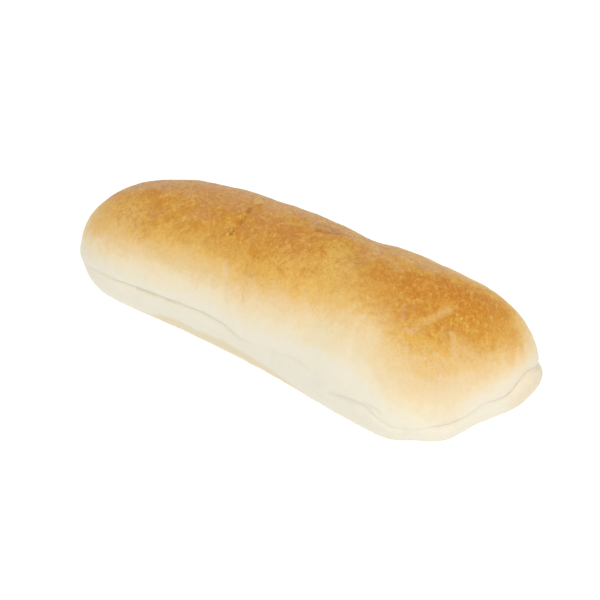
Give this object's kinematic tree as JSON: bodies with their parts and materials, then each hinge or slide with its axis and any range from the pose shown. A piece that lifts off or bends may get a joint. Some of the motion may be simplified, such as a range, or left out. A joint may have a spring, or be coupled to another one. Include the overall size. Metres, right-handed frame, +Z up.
{
  "type": "hoagie roll",
  "caption": "Whole uncut hoagie roll: a long soft bread loaf with a low rounded crown, a blunt end and a slimmer end, a fold along its sides and a flat base to rest on.",
  "frame": {"origin": "under the middle of the roll, on the plane its flat base rests on", "axes": "+X along the length towards the blunt end, +Y across the roll, +Z up from the base to the crown; the shown side faces -Y and +X"},
  "size_m": [0.2046, 0.077, 0.0414],
  "materials": {
    "crust": "matt baked crust, golden on the crown and pale cream on the sides"
  },
  "bodies": {
    "root": {"roll": "crust"}
  },
  "joints": []
}
